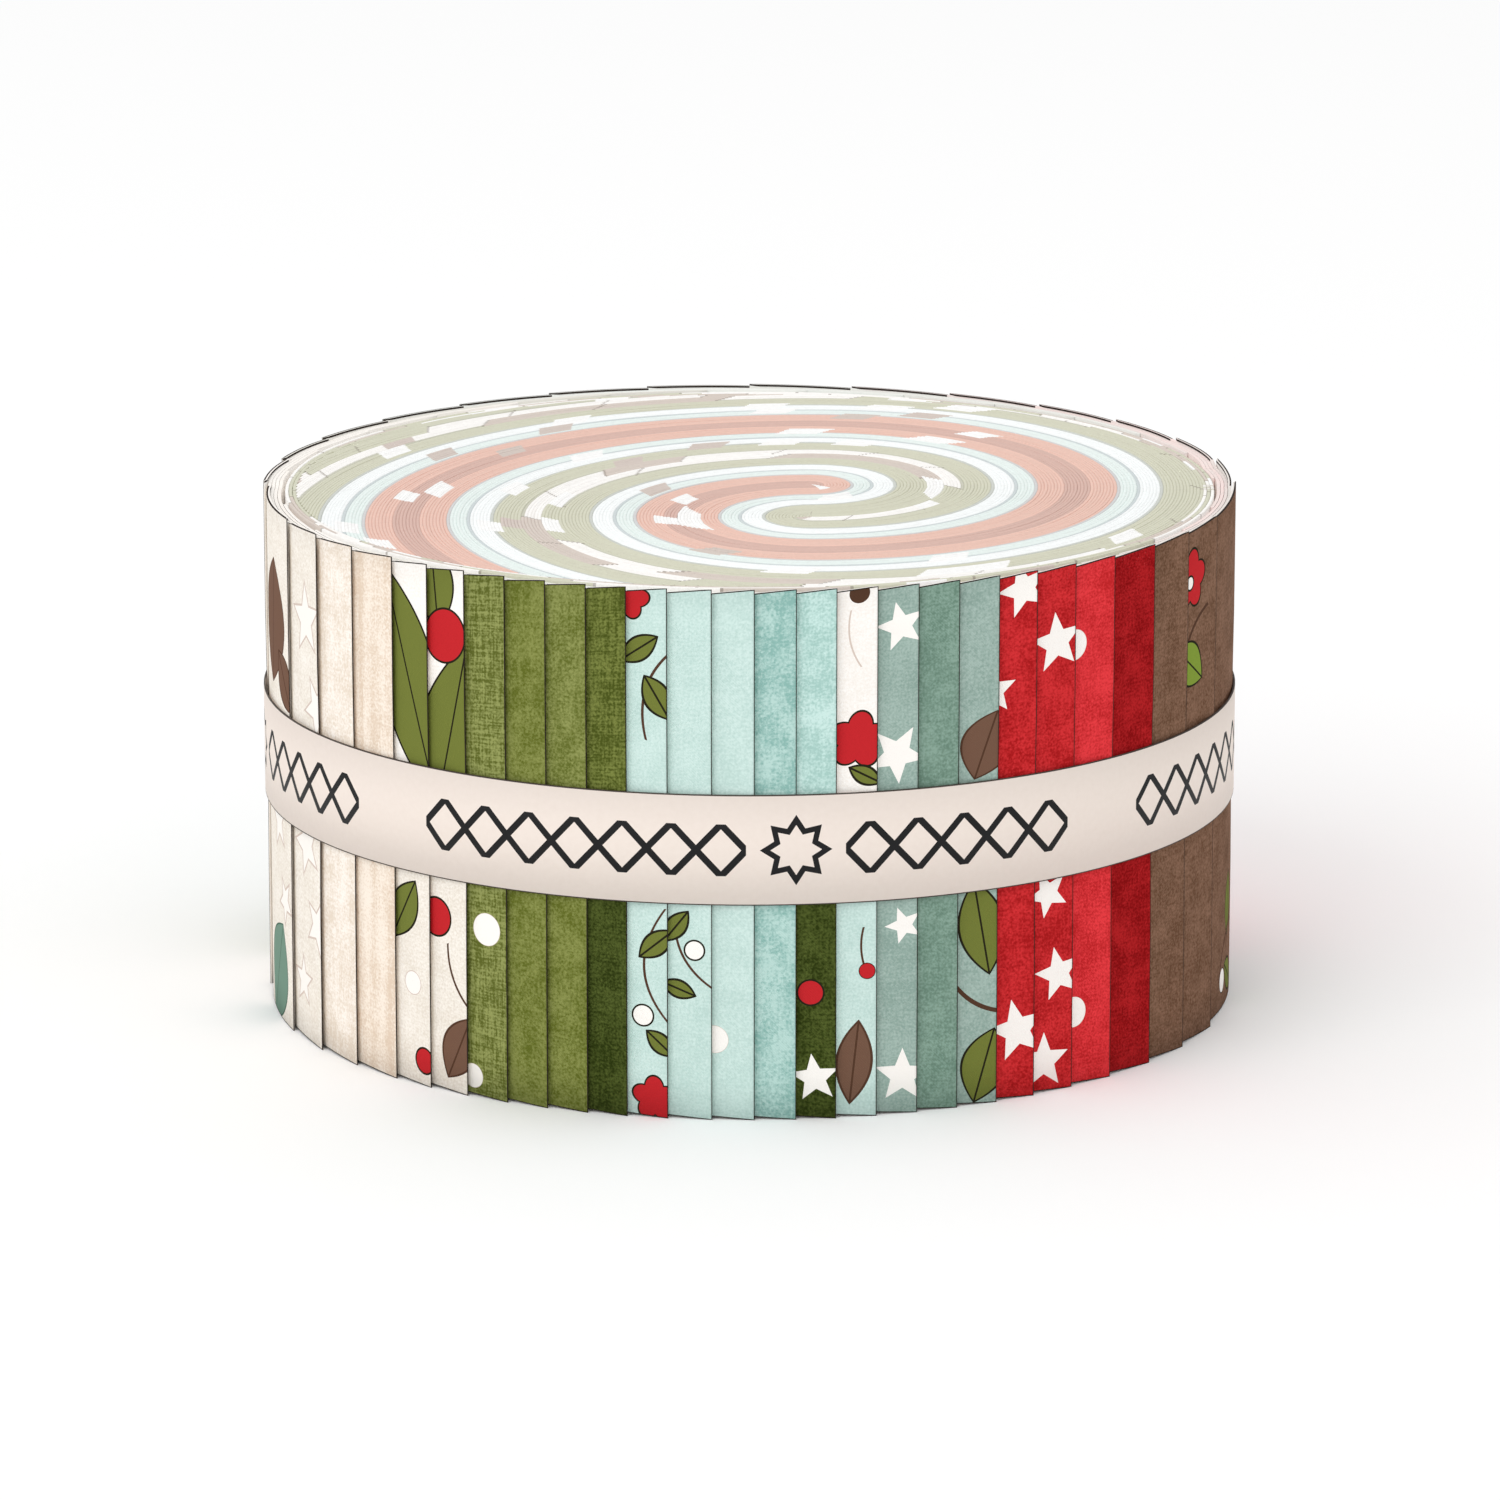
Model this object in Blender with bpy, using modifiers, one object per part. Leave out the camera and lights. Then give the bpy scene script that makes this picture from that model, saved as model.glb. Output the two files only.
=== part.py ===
"""Jelly roll: forty cotton quilting strips, stacked, wound in a double spiral and held by a paper belly band.

The wound stack is one solid. Its turns show on both flat ends: the stack runs out from an S at the centre
in two arms, so its first fabrics meet each other along one spiral line and its last fabrics along another.
The free end of each strip is a sheet of its own, lying over the next one round the outside.
Units are metres, +Z is up, and the origin is the middle of the base. The front of the roll faces -Y.
"""

import math

import bmesh
import bpy

# The roll
STRIP_WIDTH = 0.0635  # cut two and a half inches wide, which is the roll's height
ROLL_RADIUS = 0.0591
CLOTH = 0.001  # a strip's end, folded double
GAP = 0.0003  # left between pieces that touch

# The shingled strip ends: each lies over the next one, going from left to right along the front
OVERLAP = 0.5  # hidden stretch of a strip, as a share of the strip before it
SLANT = 1.04  # a slanting sheet takes a little more room across than its thickness
STEP = (CLOTH + GAP) * SLANT
CLIMB = 0.0006  # how much higher a strip stands at its free end
SETTLE = 0.0002  # how much lower its bottom edge lies there
WIDEST_FACET = math.radians(10)

# The wound stack
STACK_RADIUS = ROLL_RADIUS - STEP * (1 + OVERLAP) - CLOTH * SLANT - GAP  # where a strip's end begins
STACK_TOP = STRIP_WIDTH - CLIMB
LIMIT_SIDES = 96
COLLAR = 0.002  # the last turn, which runs round the rim unbroken
COLLAR_STEP = 0.0004  # each deeper step of a trench stops a little further in
STACK = 0.0162  # thickness of the whole stack of strips, between two meeting lines
STRETCH = 1.12  # the winding is a little longer from front to back
SPIRAL_CENTRE = (0.0075, -0.0086)
SPIRAL_HALF_TURNS = 4
STRAIGHT_STRETCH = 0.005  # length of a facet along the spiral
FEWEST_STEPS = 8
GROOVE_HALF_WIDTH = 0.0005  # where the stack meets itself
GROOVE_DEPTH = 0.0012
WELD = 0.00001

# The belly band
BAND_LOW = 0.0260
BAND_HIGH = 0.0392
BAND_THICK = 0.001
BAND_SIDES = 96

# Each fabric's colour, as RGB in linear light
FABRICS = {
    "cream": (0.79, 0.70, 0.58),
    "olive": (0.15, 0.19, 0.035),
    "aqua": (0.44, 0.62, 0.60),
    "sage": (0.21, 0.32, 0.28),
    "red": (0.50, 0.015, 0.02),
    "brown": (0.12, 0.062, 0.04),
}
PAPER = (0.84, 0.75, 0.67)
CUT_EDGES = (0.62, 0.52, 0.44)

# The strips that show along the front, from left to right: fabric, width that shows from the front in mm
FRONT_STRIPS = [
    ("cream", 4.0),
    ("cream", 4.0),
    ("cream", 4.5),
    ("cream", 5.0),
    ("olive", 4.3),
    ("olive", 4.5),
    ("olive", 4.8),
    ("olive", 4.8),
    ("olive", 4.8),
    ("olive", 4.7),
    ("aqua", 4.8),
    ("aqua", 5.2),
    ("aqua", 5.0),
    ("aqua", 4.9),
    ("aqua", 4.7),
    ("cream", 4.8),
    ("sage", 4.8),
    ("sage", 4.8),
    ("sage", 4.7),
    ("red", 4.5),
    ("red", 4.7),
    ("red", 4.7),
    ("red", 5.0),
    ("brown", 4.4),
    ("brown", 3.9),
    ("brown", 3.3),
]

# The rest of the stack's strips, round the back from right to left: fabric, number of strips
BACK_STRIPS = [("brown", 1), ("red", 5), ("sage", 3), ("aqua", 2), ("olive", 2), ("cream", 1)]

# Steps down to each meeting line on the spiral's top, one for each fabric beside it: half width, depth
FIRST_FABRIC_TRENCH = [(0.0053, 0.00035), (0.0017, 0.0007), (GROOVE_HALF_WIDTH, 0.0016)]
LAST_FABRIC_TRENCH = [(0.0058, 0.00035), (0.0025, 0.0007), (GROOVE_HALF_WIDTH, 0.0016)]


def new_collection(name):
    collection = bpy.data.collections.new(name)
    bpy.context.scene.collection.children.link(collection)
    return collection


def make_material(name, colour, roughness=0.9):
    material = bpy.data.materials.new(name)
    material.use_nodes = True
    shader = material.node_tree.nodes["Principled BSDF"]
    shader.inputs["Base Color"].default_value = (*colour, 1.0)
    shader.inputs["Roughness"].default_value = roughness
    material.diffuse_color = (*colour, 1.0)
    return material


def add_object(name, data, collection):
    piece = bpy.data.objects.new(name, data)
    collection.objects.link(piece)
    return piece


def hide_tool(piece):
    piece.hide_render = True
    piece.display_type = "WIRE"


def add_cylinder(name, radius, low, high, sides, collection, capped=True):
    """An upright cylinder on the roll's axis, or only its wall."""
    mesh = bpy.data.meshes.new(name)
    bm = bmesh.new()
    bmesh.ops.create_cone(
        bm, cap_ends=capped, segments=sides, radius1=radius, radius2=radius, depth=high - low
    )
    bmesh.ops.translate(bm, verts=bm.verts, vec=(0.0, 0.0, (low + high) / 2))
    bm.to_mesh(mesh)
    bm.free()
    return add_object(name, mesh, collection)


# Where each strip lies round the roll


def strip_table():
    """Each strip's fabric, and the direction of its free end as an angle from the front, to the right."""
    table = []
    across = sum(width for _, width in FRONT_STRIPS)
    seen = 0.0
    for fabric, width in FRONT_STRIPS:
        seen += width
        sine = min(1.0, 2 * seen / across - 1)
        table.append((fabric, math.asin(sine)))
    back = [fabric for fabric, count in BACK_STRIPS for _ in range(count)]
    for index, fabric in enumerate(back):
        table.append((fabric, math.pi / 2 + math.pi * (index + 1) / len(back)))
    return table


def stretch_stations(ends, number):
    """Stations along the stretch that one strip shows: place, counted in strips, and angle."""
    start, end = ends[number], ends[number + 1]
    steps = 2 * math.ceil((end - start) / WIDEST_FACET)
    return [
        (number - 1 + step / steps, start + (end - start) * step / steps) for step in range(steps + 1)
    ]


def free_ends(table):
    """The free ends' angles in turn, from the one before last of the turn before."""
    angles = [angle for _, angle in table]
    return [angle - 2 * math.pi for angle in angles[-2:]] + angles


def outer_radius(number, place):
    """How far out a strip's outer face lies: it slants in from the rim, away from its free end."""
    return ROLL_RADIUS - STEP * (number - place)


def on_circle(radius, angle):
    return radius * math.sin(angle), -radius * math.cos(angle)


# The wound stack: a solid drum whose flat ends carry the spiral


def side_line(first_side, offset):
    """Points beside a meeting line in the spiral's own plan, from its inner end outwards.

    The line is a chain of half circles, each one stack wider than the last, round two poles in turn.
    Its inner end is a pole itself, where the stack folds back round its own first or last fabric.
    """
    side = -first_side
    points = []
    for turn in range(1, SPIRAL_HALF_TURNS + 1):
        radius = turn * STACK
        steps = max(FEWEST_STEPS, round(math.pi * radius / STRAIGHT_STRETCH))
        points = points[:-1] + half_circle(side, radius + offset, steps)
        side = -side
    return points


def half_circle(side, radius, steps):
    """A half circle round the pole of one side, bulging to that side, in the direction of the winding."""
    start = -side * math.pi / 2
    angles = [start + math.pi * step / steps for step in range(steps + 1)]
    return [(radius * math.cos(angle), side * STACK / 2 + radius * math.sin(angle)) for angle in angles]


def trench_outline(first_side, half_width):
    """The closed plan of a trench: back along its inner side, round the pole and out along its outer side."""
    inner = side_line(first_side, -half_width)
    outer = side_line(first_side, half_width)
    fold = half_circle(first_side, half_width, FEWEST_STEPS)
    centre_x, centre_y = SPIRAL_CENTRE
    return [(centre_x + x, centre_y + STRETCH * y) for x, y in inner[::-1] + fold[1:-1] + outer]


def add_slab(name, outline, low, high, collection):
    """A closed mesh with a plan outline, from one height to another."""
    plan = bpy.data.curves.new(name, "CURVE")
    plan.dimensions = "2D"
    plan.fill_mode = "BOTH"
    plan.extrude = (high - low) / 2
    spline = plan.splines.new("POLY")
    spline.points.add(len(outline) - 1)
    for point, (x, y) in zip(spline.points, outline):
        point.co = (x, y, 0.0, 1.0)
    spline.use_cyclic_u = True
    flat = add_object(name, plan, collection)
    bpy.context.view_layer.update()

    evaluated = flat.evaluated_get(bpy.context.evaluated_depsgraph_get())
    mesh = bpy.data.meshes.new_from_object(evaluated)
    bpy.data.objects.remove(flat)
    bm = bmesh.new()
    bm.from_mesh(mesh)
    bmesh.ops.remove_doubles(bm, verts=bm.verts, dist=WELD)
    bmesh.ops.translate(bm, vec=(0.0, 0.0, (low + high) / 2), verts=bm.verts)
    bmesh.ops.recalc_face_normals(bm, faces=bm.faces)
    bm.to_mesh(mesh)
    bm.free()
    return add_object(name, mesh, collection)


def stack_outline():
    """The plan of the wound stack: under each strip it slants with it, and steps in where the next begins."""
    ends = free_ends(strip_table())
    outline = []
    for number in range(1, len(ends) - 1):
        stations = stretch_stations(ends, number - 1)[:-1] + stretch_stations(ends, number)
        first, last = number - 1 - OVERLAP, number - OVERLAP
        for place, angle in stations:
            if first <= place <= last:
                radius = outer_radius(number, place) - CLOTH * SLANT - GAP
                clear = GAP / ROLL_RADIUS if place in (first, last) else 0.0
                outline.append(on_circle(radius, angle - clear))
    return outline


def add_wound_stack(parts, trenches, limits):
    stack = add_slab("wound_stack", stack_outline(), 0.0, STACK_TOP, parts)
    stack.data.materials.append(make_material("Cut edges of the strips", CUT_EDGES))
    for meeting, first_side, steps in (("first", 1, FIRST_FABRIC_TRENCH), ("last", -1, LAST_FABRIC_TRENCH)):
        for level, (half_width, depth) in enumerate(steps):
            name = f"{meeting}_fabric_step_{level}"
            outline = trench_outline(first_side, half_width)
            tool = add_slab(name, outline, STACK_TOP - depth, STRIP_WIDTH + depth, trenches)
            keep_within(tool, COLLAR + level * COLLAR_STEP, limits)
        name = f"{meeting}_fabric_groove_below"
        outline = trench_outline(first_side, GROOVE_HALF_WIDTH)
        tool = add_slab(name, outline, -GROOVE_DEPTH, GROOVE_DEPTH, trenches)
        keep_within(tool, COLLAR, limits)
    cut = stack.modifiers.new("Cut the spiral", "BOOLEAN")
    cut.operation = "DIFFERENCE"
    cut.solver = "EXACT"
    cut.operand_type = "COLLECTION"
    cut.collection = trenches
    return stack


def keep_within(tool, margin, limits):
    """Ends a cutter inside the rim of the wound stack, so that its collar stays whole."""
    name = f"limit_of_{tool.name}"
    radius = STACK_RADIUS - margin
    limit = add_cylinder(name, radius, -STRIP_WIDTH, 2 * STRIP_WIDTH, LIMIT_SIDES, limits)
    hide_tool(limit)
    hide_tool(tool)
    end = tool.modifiers.new("End inside the rim", "BOOLEAN")
    end.operation = "INTERSECT"
    end.solver = "EXACT"
    end.object = limit


# The strip ends round the outside


def add_strip(number, fabric, ends, parts, material):
    """One strip's end: a sheet that rises from under the strip before it to its free end at the rim."""
    before = stretch_stations(ends, number - 1)
    hidden = [(place, angle) for place, angle in before if place >= number - 1 - OVERLAP]
    route = hidden[:-1] + stretch_stations(ends, number)
    name = f"strip_{number:02d}_{fabric}"
    mesh = bpy.data.meshes.new(name)
    bm = bmesh.new()
    bmesh.ops.create_grid(bm, x_segments=len(route) - 1, y_segments=1, size=1.0)
    bm.verts.ensure_lookup_table()
    for corner in bm.verts:
        column = round((corner.co.x + 1) / 2 * (len(route) - 1))
        place, angle = route[column]
        shown = min(number - place, 1.0)
        height = STRIP_WIDTH - CLIMB * shown if corner.co.y > 0 else SETTLE * shown
        corner.co = (*on_circle(outer_radius(number, place), angle), height)
    bm.to_mesh(mesh)
    bm.free()
    strip = add_object(name, mesh, parts)
    strip.data.materials.append(material)
    thickness = strip.modifiers.new("Cloth thickness", "SOLIDIFY")
    thickness.thickness = CLOTH
    thickness.offset = -1.0
    thickness.use_even_offset = True
    return strip


def add_strips(parts):
    materials = {
        fabric: make_material(f"{fabric.title()} cotton", colour) for fabric, colour in FABRICS.items()
    }
    table = strip_table()
    ends = free_ends(table)
    for number, (fabric, _) in enumerate(table, start=1):
        add_strip(number, fabric, ends, parts, materials[fabric])


# The belly band


def add_band(parts):
    """A paper ring round the middle of the roll, clear of the strips' free ends."""
    radius = (ROLL_RADIUS + GAP) / math.cos(math.pi / BAND_SIDES)
    band = add_cylinder("belly_band", radius, BAND_LOW, BAND_HIGH, BAND_SIDES, parts, capped=False)
    band.data.materials.append(make_material("Cream paper", PAPER, roughness=0.7))
    thickness = band.modifiers.new("Paper thickness", "SOLIDIFY")
    thickness.thickness = BAND_THICK
    thickness.offset = 1.0
    thickness.use_even_offset = True
    return band


def build():
    for old in list(bpy.data.objects):
        bpy.data.objects.remove(old)
    parts = new_collection("Jelly roll")
    add_wound_stack(parts, new_collection("Trenches"), new_collection("Limits"))
    add_strips(parts)
    add_band(parts)


build()
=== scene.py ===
import math
import random

import bmesh
import bpy
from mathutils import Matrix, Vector


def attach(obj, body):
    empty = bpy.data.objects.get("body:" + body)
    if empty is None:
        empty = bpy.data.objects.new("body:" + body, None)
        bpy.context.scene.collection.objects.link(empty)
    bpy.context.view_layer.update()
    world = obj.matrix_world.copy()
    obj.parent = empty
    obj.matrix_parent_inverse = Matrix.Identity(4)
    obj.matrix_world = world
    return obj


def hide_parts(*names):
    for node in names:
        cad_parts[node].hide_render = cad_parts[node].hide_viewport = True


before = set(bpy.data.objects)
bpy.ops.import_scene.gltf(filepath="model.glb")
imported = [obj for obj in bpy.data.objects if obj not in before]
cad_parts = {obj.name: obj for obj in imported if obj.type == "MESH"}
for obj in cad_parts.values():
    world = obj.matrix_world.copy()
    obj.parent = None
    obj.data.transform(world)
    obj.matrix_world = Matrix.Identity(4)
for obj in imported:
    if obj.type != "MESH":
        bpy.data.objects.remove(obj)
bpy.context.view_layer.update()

# The wound turns: forty quilting strips folded double, stacked, and wound out from the middle in two arms.
# Only their cut edges show, on both flat ends, where the fabrics look paler than on their printed faces.
# Each is one thin standing sheet, and all of them are swept along their paths by Geometry Nodes.

STRIP_WIDTH = 0.0635
LAYERS = 40
STACK = 0.0162
LAYER_PITCH = STACK / LAYERS
LAYER_THICKNESS = 0.00040
LAYER_TOP = 0.0630
STRETCH = 1.12
SPIRAL_CENTRE = (0.0075, -0.0086)
SPIRAL_HALF_TURNS = 5
WINDING_RADIUS = 0.0552
TURN_STEP = 0.003
LAST_TURNS = (0.05545, 0.05590, 0.05635)
SAME_PLACE = 1e-7


def half_turn(side, radius, turn, direction):
    """A half circle round the pole of one side: each point in plan, with the stack's mean way to it in mm."""
    start = -side * math.pi / 2
    steps = math.ceil(math.pi * (turn + 1) * STACK / TURN_STEP)
    points = []
    centre_x, centre_y = SPIRAL_CENTRE
    for step in range(steps + 1):
        share = step / steps
        angle = start + math.pi * share
        x = radius * math.cos(angle)
        y = side * STACK / 2 + radius * math.sin(angle)
        way = math.pi * STACK * (turn**2 / 2 + (turn + 0.5) * share)
        points.append((Vector((centre_x + x, centre_y + STRETCH * y, 0.0)), direction * way * 1000))
    return points


def layer_path(offset):
    """One strip's whole path, from the outer end of one arm through the middle to the other."""
    first_arm = []
    second_arm = []
    for turn in range(SPIRAL_HALF_TURNS):
        side = 1 if turn % 2 == 0 else -1
        first_arm += half_turn(side, offset + turn * STACK, turn, 1)
        second_arm += half_turn(-side, (turn + 1) * STACK - offset, turn, -1)
    return second_arm[::-1] + first_arm


def rim_crossing(inner, outer):
    """Where a stretch of a layer runs out under the last turns, between a point inside and one outside."""
    step = outer - inner
    a = step.dot(step)
    b = inner.dot(step)
    c = inner.dot(inner) - WINDING_RADIUS**2
    return inner + step * ((-b + math.sqrt(b * b - a * c)) / a)


def lay_out_layers():
    """The centre lines of all the layers, and of the last turns that run round them under the strip ends."""
    mesh = bpy.data.meshes.new("layer_paths")
    points = []
    edges = []
    across = []
    along = []

    def add_point(point, layer, way, joined):
        points.append(point)
        across.append(layer + 0.5)
        along.append(way)
        if joined:
            edges.append((len(points) - 2, len(points) - 1))

    for layer in range(LAYERS):
        path = layer_path((layer + 0.5) * LAYER_PITCH)
        for (before, way_before), (point, way) in zip(path, path[1:]):
            if (point - before).length < SAME_PLACE:
                continue
            inside_before = before.length < WINDING_RADIUS
            inside = point.length < WINDING_RADIUS
            if inside and not inside_before:
                add_point(rim_crossing(point, before), layer, way_before, False)
            if inside:
                add_point(point, layer, way, True)
            elif inside_before:
                add_point(rim_crossing(before, point), layer, way, True)
    for number, radius in enumerate(LAST_TURNS):
        count = round(2 * math.pi * radius / TURN_STEP)
        first = len(points)
        for step in range(count):
            angle = 2 * math.pi * step / count
            point = Vector((radius * math.cos(angle), radius * math.sin(angle), 0.0))
            add_point(point, LAYERS - 1, 1000 * (number + radius * angle), step > 0)
        edges.append((len(points) - 1, first))
    mesh.from_pydata(points, edges, [])
    for name, values in (("across", across), ("along", along)):
        mesh.attributes.new(name, "FLOAT", "POINT").data.foreach_set("value", values)
    return mesh


def add_math(tree, operation, *values):
    """A Math node fed by sockets or plain numbers."""
    node = tree.nodes.new("ShaderNodeMath")
    node.operation = operation
    for socket, value in zip(node.inputs, values):
        if isinstance(value, bpy.types.NodeSocket):
            tree.links.new(value, socket)
        else:
            socket.default_value = value
    return node.outputs[0]


def add_noise(tree, vector, scale, detail=2.0, dimensions="3D"):
    node = tree.nodes.new("ShaderNodeTexNoise")
    node.noise_dimensions = dimensions
    node.inputs["Scale"].default_value = scale
    node.inputs["Detail"].default_value = detail
    tree.links.new(vector, node.inputs["Vector"])
    return node


def add_vector(tree, x, y, z=0.0):
    node = tree.nodes.new("ShaderNodeCombineXYZ")
    for socket, value in zip(node.inputs, (x, y, z)):
        if isinstance(value, bpy.types.NodeSocket):
            tree.links.new(value, socket)
        else:
            socket.default_value = value
    return node.outputs[0]


def winding_tree(material):
    """Sweeps a thin upright sheet along every path and leaves its top edge slightly uneven."""
    tree = bpy.data.node_groups.new("Wind the layers", "GeometryNodeTree")
    tree.interface.new_socket("Geometry", in_out="INPUT", socket_type="NodeSocketGeometry")
    for name, value in (
        ("Thickness", LAYER_THICKNESS),
        ("Width", LAYER_TOP),
        ("Rounding", 0.00006),
        ("Unevenness", 0.00025),
        ("Waviness", 0.0004),
    ):
        socket = tree.interface.new_socket(name, in_out="INPUT", socket_type="NodeSocketFloat")
        socket.default_value = value
    tree.interface.new_socket("Geometry", in_out="OUTPUT", socket_type="NodeSocketGeometry")
    nodes = tree.nodes
    links = tree.links
    given = nodes.new("NodeGroupInput")
    result = nodes.new("NodeGroupOutput")

    line = nodes.new("GeometryNodeMeshToCurve")
    links.new(given.outputs["Geometry"], line.inputs["Mesh"])
    upright = nodes.new("GeometryNodeSetCurveNormal")
    upright.mode = "Z_UP"
    links.new(line.outputs[0], upright.inputs["Curve"])

    section = nodes.new("GeometryNodeCurvePrimitiveQuadrilateral")
    links.new(given.outputs["Thickness"], section.inputs["Width"])
    links.new(given.outputs["Width"], section.inputs["Height"])
    rounded = nodes.new("GeometryNodeFilletCurve")
    rounded.mode = "POLY"
    rounded.inputs["Count"].default_value = 1
    links.new(section.outputs[0], rounded.inputs["Curve"])
    links.new(given.outputs["Rounding"], rounded.inputs["Radius"])

    sheets = nodes.new("GeometryNodeCurveToMesh")
    sheets.inputs["Fill Caps"].default_value = True
    links.new(upright.outputs[0], sheets.inputs["Curve"])
    links.new(rounded.outputs[0], sheets.inputs["Profile Curve"])

    place = nodes.new("GeometryNodeInputPosition").outputs[0]
    split = nodes.new("ShaderNodeSeparateXYZ")
    links.new(place, split.inputs[0])
    across = nodes.new("GeometryNodeInputNamedAttribute")
    across.inputs["Name"].default_value = "across"
    along = nodes.new("GeometryNodeInputNamedAttribute")
    along.inputs["Name"].default_value = "along"
    spread = add_math(tree, "MULTIPLY", across.outputs[0], 7.31)
    slow = add_math(tree, "MULTIPLY", along.outputs[0], 0.03)
    ripple = add_noise(tree, add_vector(tree, slow, spread), 1.0)
    on_top = add_math(tree, "GREATER_THAN", split.outputs["Z"], 0.0)
    rise = add_math(tree, "SUBTRACT", ripple.outputs[0], 0.5)
    rise = add_math(tree, "MULTIPLY", rise, given.outputs["Unevenness"])
    rise = add_math(tree, "MULTIPLY", rise, on_top)
    half = add_math(tree, "MULTIPLY", given.outputs["Width"], 0.5)
    rise = add_math(tree, "ADD", rise, half)

    flat_place = add_vector(tree, split.outputs["X"], split.outputs["Y"])
    sway = add_noise(tree, flat_place, 45.0, detail=0.0)
    sway_split = nodes.new("ShaderNodeSeparateXYZ")
    links.new(sway.outputs["Color"], sway_split.inputs[0])
    sideways = []
    for axis in ("X", "Y"):
        centred = add_math(tree, "SUBTRACT", sway_split.outputs[axis], 0.5)
        sideways.append(add_math(tree, "MULTIPLY", centred, given.outputs["Waviness"]))
    move = nodes.new("GeometryNodeSetPosition")
    links.new(sheets.outputs[0], move.inputs["Geometry"])
    links.new(add_vector(tree, sideways[0], sideways[1], rise), move.inputs["Offset"])

    whole = nodes.new("GeometryNodeRealizeInstances")
    links.new(move.outputs[0], whole.inputs[0])
    finish = nodes.new("GeometryNodeSetMaterial")
    finish.inputs["Material"].default_value = material
    links.new(whole.outputs[0], finish.inputs["Geometry"])
    links.new(finish.outputs[0], result.inputs[0])
    return tree


def ink(red, green, blue):
    """A colour given as screen values from 0 to 255, in linear light for a socket."""
    linear = []
    for value in (red, green, blue):
        share = value / 255
        linear.append(share / 12.92 if share <= 0.04045 else ((share + 0.055) / 1.055) ** 2.4)
    return (*linear, 1.0)


def add_mix(tree, factor, under, over):
    """One colour laid over another where the factor is 1."""
    node = tree.nodes.new("ShaderNodeMix")
    node.data_type = "RGBA"
    for socket, value in ((node.inputs[0], factor), (node.inputs[6], under), (node.inputs[7], over)):
        if isinstance(value, bpy.types.NodeSocket):
            tree.links.new(value, socket)
        else:
            socket.default_value = value
    return node.outputs[2]


# The pale edges, from the stack's first fabric to its last: layers up to this one, colour
EDGE_COLOURS = [
    (4, ink(221, 187, 176)),
    (12, ink(239, 201, 187)),
    (13, ink(214, 214, 214)),
    (18, ink(238, 248, 245)),
    (19, ink(208, 216, 217)),
    (25, ink(252, 255, 255)),
    (26, ink(210, 214, 208)),
    (34, ink(216, 216, 196)),
    (35, ink(206, 206, 190)),
    (40, ink(255, 253, 250)),
]


def add_pieces(tree, along, bundle, length, slant):
    """Cuts a band of layers into pieces of print: a random value for each, and how far into the piece a point is."""
    shift = add_math(tree, "MULTIPLY", bundle, 0.37)
    place = add_math(tree, "ADD", add_math(tree, "DIVIDE", along, length), add_math(tree, "ADD", shift, slant))
    piece = add_math(tree, "FLOOR", place)
    chance = tree.nodes.new("ShaderNodeTexWhiteNoise")
    chance.noise_dimensions = "2D"
    tree.links.new(add_vector(tree, piece, bundle), chance.inputs["Vector"])
    return chance.outputs["Value"], add_math(tree, "SUBTRACT", place, piece)


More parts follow.
